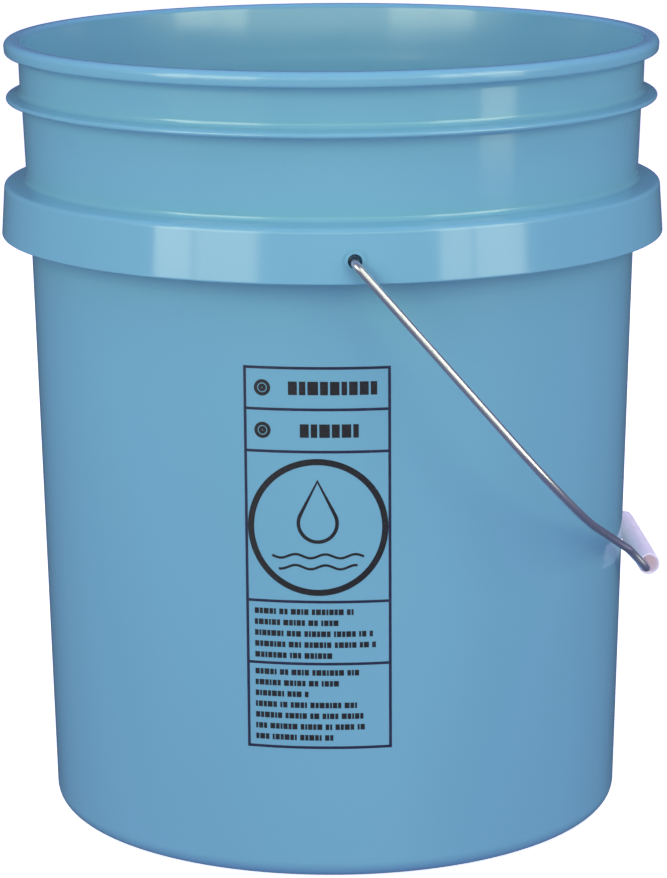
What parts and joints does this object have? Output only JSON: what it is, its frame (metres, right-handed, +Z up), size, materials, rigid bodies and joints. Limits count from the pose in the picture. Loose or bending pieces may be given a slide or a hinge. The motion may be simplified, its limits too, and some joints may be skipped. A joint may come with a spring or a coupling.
{
  "type": "bail-handle bucket",
  "caption": "Tall tapered open-head plastic bucket with a rolled rim, a stacking ring, a deep skirt carrying the ears, and a swinging wire bail with a loose tube grip.",
  "frame": {"origin": "centre of the foot ring, on the surface that the bucket stands on, on the bucket's axis", "axes": "+Z up along the bucket's axis; Y through the two ears that carry the bail; the bail rests on the +X side"},
  "size_m": [0.3086, 0.3358, 0.365],
  "materials": {
    "pail_plastic": "satin moulded polyethylene, blue",
    "wire_steel": "bright galvanised drawn wire",
    "grip_plastic": "extruded white plastic tube"
  },
  "bodies": {
    "pail": {"bucket_body": "pail_plastic"},
    "bail": {"bail_wire": "wire_steel"},
    "grip": {"handle_grip": "grip_plastic"}
  },
  "joints": [
    {"name": "bail_swing", "type": "hinge", "parent": "pail", "child": "bail", "pos_m": [0, 0, 0.28381], "axis": [0, -1, 0], "range_deg": [0, 277.5]},
    {"name": "grip_spin", "type": "hinge", "parent": "bail", "child": "grip", "pos_m": [0.14568, 0, 0.11912], "axis": [0, 1, 0], "continuous": true}
  ]
}
